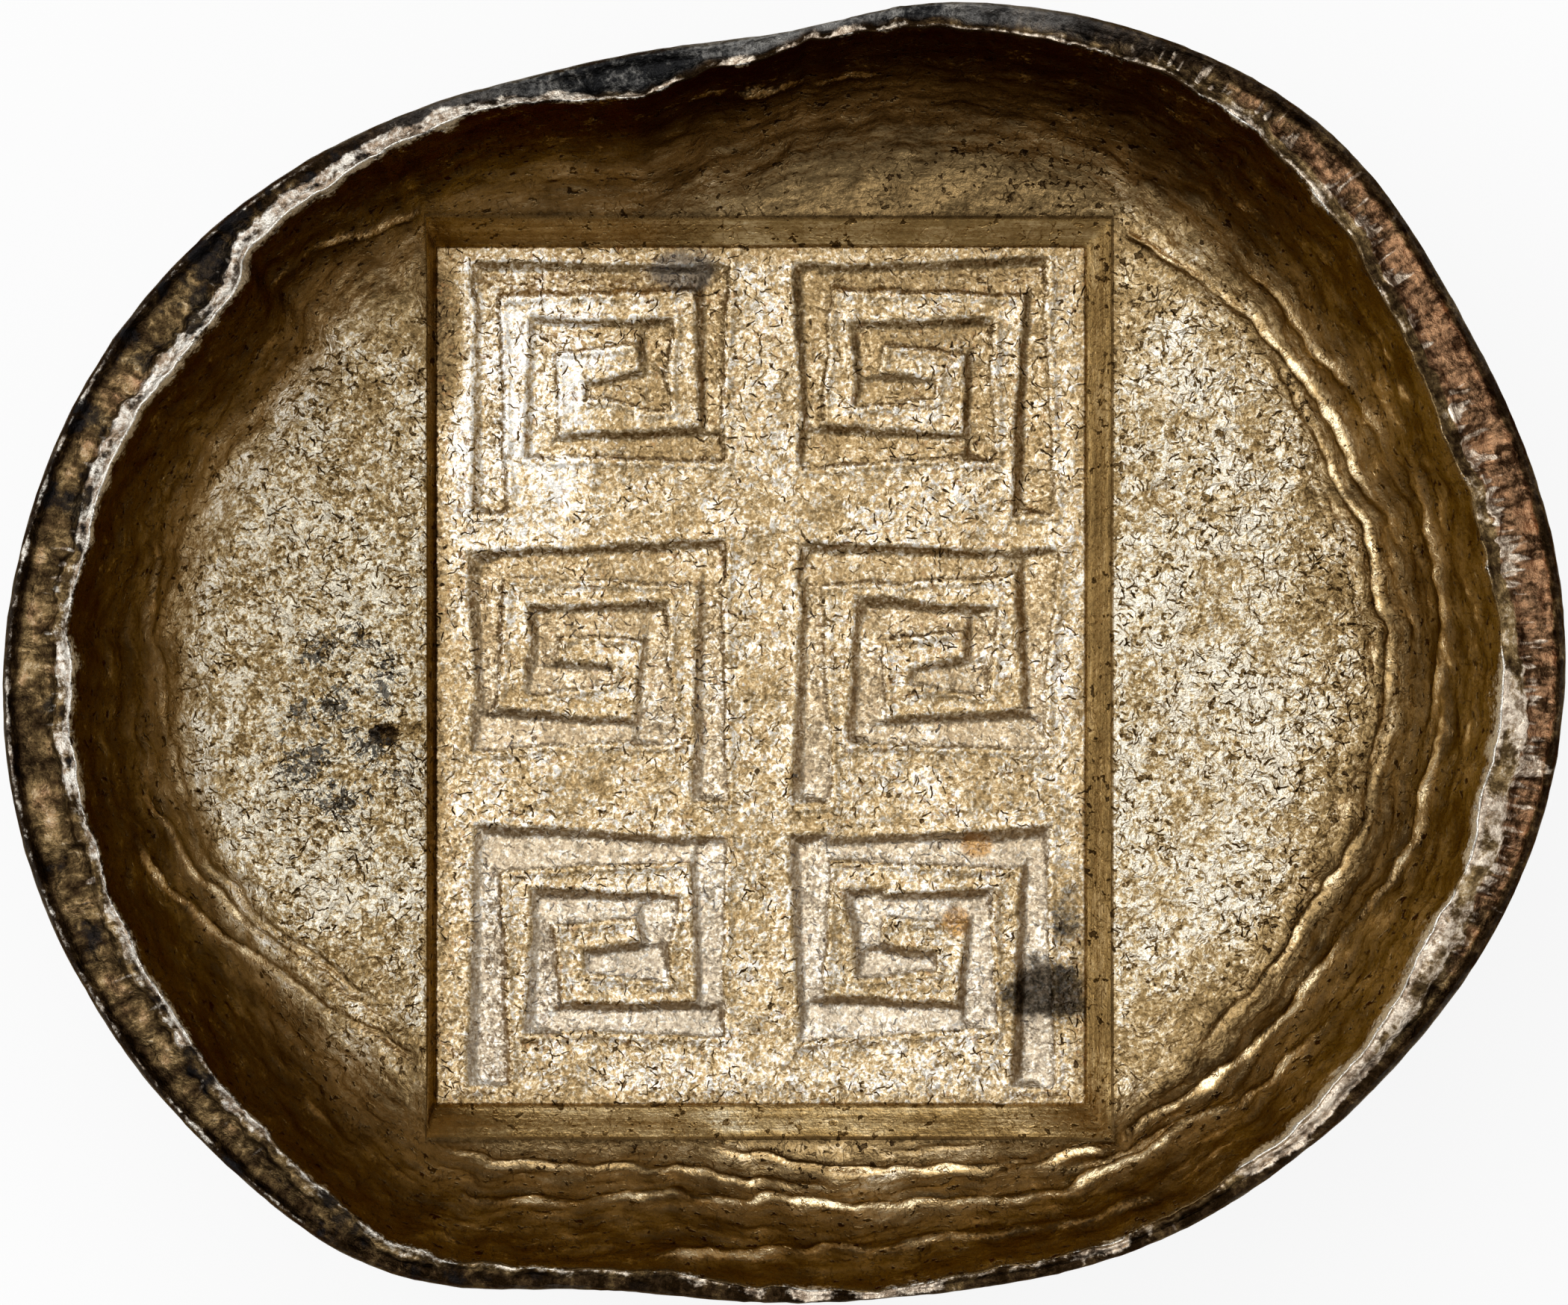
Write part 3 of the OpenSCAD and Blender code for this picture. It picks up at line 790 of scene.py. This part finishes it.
columns, rows = 266, 350
shape = bmesh.new()
bmesh.ops.create_grid(shape, x_segments=columns, y_segments=rows, size=1)
plan = np.array([vert.co[:2] for vert in shape.verts]) * np.array((panel_width, panel_length)) / 2
on_plan = np.concatenate((plan, np.zeros((len(plan), 1))), -1)
waver = 0.10 * grain(on_plan, 1.4, 91)
sunk, beside = np.zeros(len(plan)), np.full(len(plan), 9.0)
for start, end, (width_at_start, width_at_end), deep in strokes:
    # A stroke widens to its end, and its bottom slants: one side is cut deep and the other is shallow.
    whole = np.linalg.norm(end - start)
    way = (end - start) / whole
    sideways = np.array((way[1], -way[0])) * (1 if 0.6 * way[1] + 0.8 * way[0] > 0 else -1)
    along, over = (plan - start) @ way, (plan - start) @ sideways
    share = np.clip(along / whole, 0, 1)
    half = stroke_width / 2 * mixed(width_at_start, width_at_end, share)
    past_ends = np.maximum(-along, along - whole) - stroke_width / 2
    outside_it = np.maximum(np.abs(over) - half, past_ends) + waver
    beside = np.minimum(beside, outside_it)
    fallen = np.clip(over / half, -1, 1) / 2 + 0.5
    facet = stroke_sink * deep * mixed(0.65, 1, share) * mixed(1, 0.2, fallen)
    sunk = np.maximum(sunk, np.clip(-mixed(0.75, 0.9, fallen) * outside_it, 0, facet))
to_edge = np.minimum(panel_width / 2 - np.abs(plan[:, 0]), panel_length / 2 - np.abs(plan[:, 1]))
heave = 0.10 * grain(on_plan, 4.5, 92) + 0.035 * grain(on_plan, 0.9, 93)
burr = 0.06 * bell(beside - 0.16, 0.14)
height = panel_floor - sunk + (heave + burr) * eased(0, 1.0, to_edge)
layer_beside = shape.verts.layers.float.new("beside")
layer_edge = shape.verts.layers.float.new("to_edge")
for vert, spot, z, near, edge in zip(shape.verts, plan, height, beside, to_edge):
    vert.co = ((spot[0] + panel_middle[0]) * MM, (spot[1] + panel_middle[1]) * MM, z * MM)
    vert[layer_beside] = near
    vert[layer_edge] = edge / 10

# The border is drawn down to the bottom of the struck metal and closed there in the middle.
struck_bottom = (panel_floor - struck_depth) * MM
border = [edge for edge in shape.edges if edge.is_boundary]
skirt = bmesh.ops.extrude_edge_only(shape, edges=border)["geom"]
for vert in skirt:
    if isinstance(vert, bmesh.types.BMVert):
        vert.co.z = struck_bottom
border = [edge for edge in skirt if isinstance(edge, bmesh.types.BMEdge)]
under = bmesh.ops.extrude_edge_only(shape, edges=border)["geom"]
under = [vert for vert in under if isinstance(vert, bmesh.types.BMVert)]
bottom_middle = (panel_middle[0] * MM, panel_middle[1] * MM, struck_bottom)
bmesh.ops.pointmerge(shape, verts=under, merge_co=bottom_middle)
bmesh.ops.recalc_face_normals(shape, faces=shape.faces)
stamped_face = finished("stamped_face_struck", shape)

fleck_brown, ochre_stain = colour(0.29, 0.16, 0.065), colour(0.40, 0.20, 0.045)
smudge_grey = colour(0.08, 0.072, 0.066)
stroke_grey, stroke_pale = colour(0.42, 0.38, 0.33), colour(0.70, 0.66, 0.59)
tar_dark, tar_pale = colour(0.006, 0.004, 0.002), colour(0.05, 0.034, 0.02)

face_finish, place, shader = new_finish("struck_silver")
beside = mark(place, "beside")
to_edge = mark(place, "to_edge") * 10
north = place.along(1)
small, large = crystals(place, 0.11, (0.03, 0, 0)), crystals(place, 0.24, (0, 0.03, 0))
scratches = needles(place, 0.45, 0.4, 0.055, (0.02, 0.01, 0))
scratches = scratches.most(needles(place, 0.7, 0.55, 0.065, (0.04, 0.02, 0)))
mottle = cloud(place, 1.3, 6, 0.65, (0.02, 0, 0))
threads = cloud(place, 0.45, 4, 0.65, (0, 0.01, 0), 2.5)
blotch = cloud(place, 4, 4, 0.6, (0, 0.04, 0))
fine = cloud(place, 0.2, 3, 0.7, (0.03, 0.01, 0))
scratches = scratches * (mottle + blotch.swing(0.8)).step(0.36, 0.62)
# Painted highlights: a glare at the upper left of the panel, and paler strips along its lower and right
# edges.
painted_glare = patch(place, -11.5, 11.5, 6, 10) * 1.6
painted_glare = painted_glare.most(patch(place, 3, -19, 14, 4) * 0.6, patch(place, 13, -1, 3.5, 20) * 0.5)
tone = 0.85 + painted_glare * 0.1 + mottle.swing(0.46) + blotch.swing(0.3) + threads.swing(0.8)
tone = tone + fine.swing(0.62) + (brightness(small) + brightness(large) - 1) * 0.13
wavy_beside = beside + mottle.swing(0.15)
in_stroke = 1 - wavy_beside.step(-0.06, 0.0)
outline = 1 - (wavy_beside + 0.04).maths("ABSOLUTE").step(0.02, 0.08)
outline = outline * (blotch + mottle - 0.5).step(0.45, 0.65)
tone = tone - in_stroke * north.step(-0.012, 0.014) * 0.1 - outline * 0.15
# Darker in patches within a millimetre of the panel's edge.
near_edge_dark = (1 - to_edge.step(0.0, 0.9)) * (mottle + blotch - 0.5).step(0.35, 0.6)
corner_dirt = patch(place, -14.9, 13.5, 2.0, 6).most(patch(place, -15.5, -2, 1.4, 22) * 0.6)
corner_dirt = (corner_dirt + mottle.swing(1.2) + threads.swing(2)).step(0.35, 0.8)
specks = cloud(place, 0.5, 2, 0.6, (0.06, 0.03, 0)).step(0.67, 0.74) * blotch.step(0.4, 0.55)
tone = tone - near_edge_dark * 0.15 - corner_dirt * 0.3 - scratches * 0.72 - specks * 0.5
flecks = cloud(place, 0.3, 3, 0.6, (0.01, 0.07, 0)).step(0.57, 0.66)
flecks = flecks * (blotch + mottle - 0.5).step(0.35, 0.6)
base = (flecks * 0.7).tint(patina(tone), fleck_brown)
low_stroke = in_stroke * (1 - north.step(-0.016, 0.006)) * 0.4
base = low_stroke.tint(base, fine.step(0.35, 0.65).tint(stroke_grey, stroke_pale))
tar = patch(place, 11.3, -14.6, 3.6, 2.4).most(patch(place, 12.2, -11.3, 1.5, 2.6) * 0.75)
tar = (tar + mottle.swing(1.6) + fine.swing(0.7)).step(0.35, 0.85)
base = (tar * 0.95).tint(base, fine.step(0.4, 0.65).tint(tar_dark, tar_pale))
smudge = (patch(place, -4.3, 16.4, 2.6, 1.6) + mottle.swing(1.5)).step(0.3, 0.9)
base = (smudge * 0.75).tint(base, smudge_grey)
ochre = patch(place, 8.3, -8.3, 1.2, 0.9).most(patch(place, 7.4, -11.6, 1.0, 1.1))
base = ((ochre + fine.swing(1.2) + (mottle - 0.5)).step(0.3, 0.8) * 0.7).tint(base, ochre_stain)
relief = fine * 0.4 - scratches * 0.8 - specks + mottle + threads * 0.4
tipped = leaning(place, small.scaled(0.3), large.scaled(0.22))
roughness = 0.37 + fine.swing(0.15)
metal(shader, colour(0.7, 0.58, 0.4), base, roughness, bump(relief, 0.45, 0.12, Normal=tipped))
stamped_face.data.materials.append(face_finish)
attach(stamped_face, "root")
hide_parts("stamped_face")


# Stage: a plain white floor, one large soft lamp overhead with two weaker ones low at the sides, and a
# camera that looks straight down into the bowl, with the ingot filling its frame.
floor_size = 1.5
shape = bmesh.new()
bmesh.ops.create_grid(shape, x_segments=1, y_segments=1, size=floor_size)
floor = finished("floor", shape)
floor_finish = bpy.data.materials.new("white_floor")
floor_finish.use_nodes = True
tree = floor_finish.node_tree
tree.nodes.clear()
surface = tree.nodes.new("ShaderNodeOutputMaterial")
path = tree.nodes.new("ShaderNodeLightPath")
matt = Value(tree).node("ShaderNodeBsdfDiffuse", (), {"Color": colour(0.86, 0.86, 0.86)})
white = Value(tree).node("ShaderNodeEmission", (), {"Color": colour(1, 1, 1), "Strength": 1.0})
seen = Value(tree, path.outputs["Is Camera Ray"]).most(Value(tree, path.outputs["Is Glossy Ray"]))
shown_floor = seen.node("ShaderNodeMixShader", (), {0: seen * 0.86, 1: matt, 2: white})
tree.links.new(shown_floor.socket, surface.inputs[0])
floor.data.materials.append(floor_finish)

world = bpy.data.worlds.new("studio")
bpy.context.scene.world = world
world.use_nodes = True
background = world.node_tree.nodes["Background"]
background.inputs["Color"].default_value = colour(1, 1, 1)
background.inputs["Strength"].default_value = 0.5


def lamp(name, place, aim, size, power):
    light = bpy.data.lights.new(name, "AREA")
    light.size, light.energy = size, power
    holder = bpy.data.objects.new(name, light)
    bpy.context.scene.collection.objects.link(holder)
    holder.location = place
    way = aim - np.array(place)
    pitch = math.atan2(math.hypot(way[0], way[1]), -way[2])
    holder.rotation_euler = (pitch, 0, math.atan2(way[1], way[0]) - math.pi / 2)


in_the_bowl = np.array((0, 0, 0.02))
lamp("overhead", (-0.2, 0.24, 0.72), in_the_bowl, 0.8, 4.2)
lamp("left_side", (-0.9, -0.25, 0.45), in_the_bowl, 0.5, 1.2)
lamp("right_side", (0.9, -0.35, 0.5), in_the_bowl, 0.5, 1.2)

camera_height, rim_height = 0.52, 0.0245
sensor_width, framed_width = 36, 66.05 * MM
view = bpy.data.cameras.new("camera")
view.sensor_fit = "HORIZONTAL"
view.sensor_width = sensor_width
view.lens = sensor_width * (camera_height - rim_height) / framed_width
view.clip_start = 0.01
camera = bpy.data.objects.new("camera", view)
bpy.context.scene.collection.objects.link(camera)
camera.location = (0, 0, camera_height)
bpy.context.scene.camera = camera

bpy.context.scene.view_settings.view_transform = "Standard"
